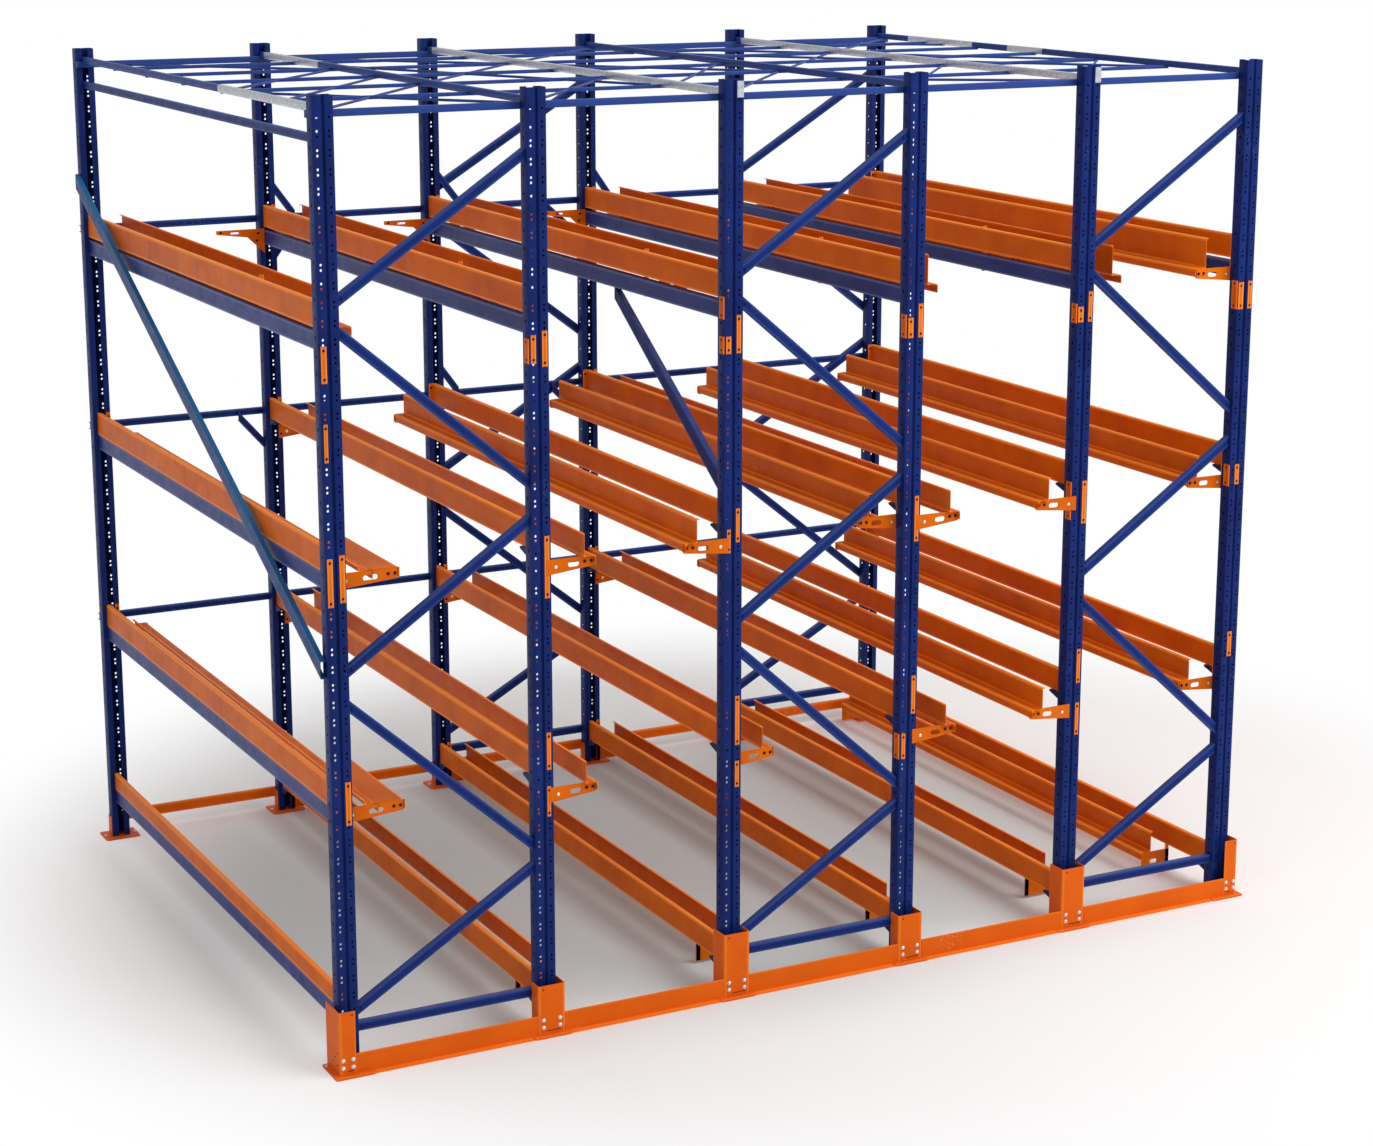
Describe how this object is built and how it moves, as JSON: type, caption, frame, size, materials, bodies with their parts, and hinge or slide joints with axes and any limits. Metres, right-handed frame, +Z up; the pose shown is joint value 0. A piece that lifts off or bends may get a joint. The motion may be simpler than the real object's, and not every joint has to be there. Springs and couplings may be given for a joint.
{
  "type": "drive-in pallet rack",
  "caption": "Free-standing drive-in pallet rack: rows of blue uprights joined by orange guide rails on several levels and at the floor, with lacing, roof ties and foot protectors.",
  "frame": {"origin": "bottom centre of the whole rack's bounding box, on the floor", "axes": "+X along the front row from the first upright to the sixth, +Y from the front row to the rear row, +Z up"},
  "size_m": [6.34, 4.693, 5.45],
  "materials": {
    "frame_blue": "satin blue powder coat",
    "brace_blue": "satin blue powder coat",
    "rail_orange": "satin orange powder coat"
  },
  "bodies": {
    "root": {"upright_front_1": "frame_blue", "upright_rear_1": "frame_blue", "protector_1": "rail_orange", "floor_rail_line1": "rail_orange", "rails_line1_level1": "rail_orange", "rails_line1_level2": "rail_orange", "rails_line1_level3": "rail_orange", "beam_line1_level1": "frame_blue", "upright_front_2": "frame_blue", "upright_rear_2": "frame_blue", "protector_2": "rail_orange", "floor_rail_line2": "rail_orange", "rails_line2_level1": "rail_orange", "rails_line2_level2": "rail_orange", "rails_line2_level3": "rail_orange", "beam_line2_level1": "frame_blue", "upright_front_3": "frame_blue", "upright_rear_3": "frame_blue", "protector_3": "rail_orange", "floor_rail_line3": "rail_orange", "rails_line3_level1": "rail_orange", "rails_line3_level2": "rail_orange", "rails_line3_level3": "rail_orange", "beam_line3_level1": "frame_blue", "upright_front_4": "frame_blue", "upright_rear_4": "frame_blue", "protector_4": "rail_orange", "floor_rail_line4": "rail_orange", "rails_line4_level1": "rail_orange", "rails_line4_level2": "rail_orange", "rails_line4_level3": "rail_orange", "beam_line4_level1": "frame_blue", "upright_front_5": "frame_blue", "upright_rear_5": "frame_blue", "protector_5": "rail_orange", "floor_rail_line5": "rail_orange", "rails_line5_level1": "rail_orange", "rails_line5_level2": "rail_orange", "rails_line5_level3": "rail_orange", "beam_line5_level1": "frame_blue", "upright_front_6": "frame_blue", "upright_rear_6": "frame_blue", "protector_6": "rail_orange", "floor_rail_line6": "rail_orange", "rails_line6_level1": "rail_orange", "rails_line6_level2": "rail_orange", "rails_line6_level3": "rail_orange", "beam_line6_level1": "frame_blue", "beam_line1_level2": "frame_blue", "beam_line1_level3": "frame_blue", "beam_line1_floor": "frame_blue", "lacing_front_1_2": "brace_blue", "lacing_front_3_4": "brace_blue", "lacing_front_5_6": "brace_blue", "rear_bracing": "brace_blue", "side_diagonal_outer": "brace_blue", "side_diagonal_inner": "brace_blue", "roof_ties": "brace_blue", "front_sill": "rail_orange", "rear_sill": "rail_orange"}
  },
  "joints": []
}
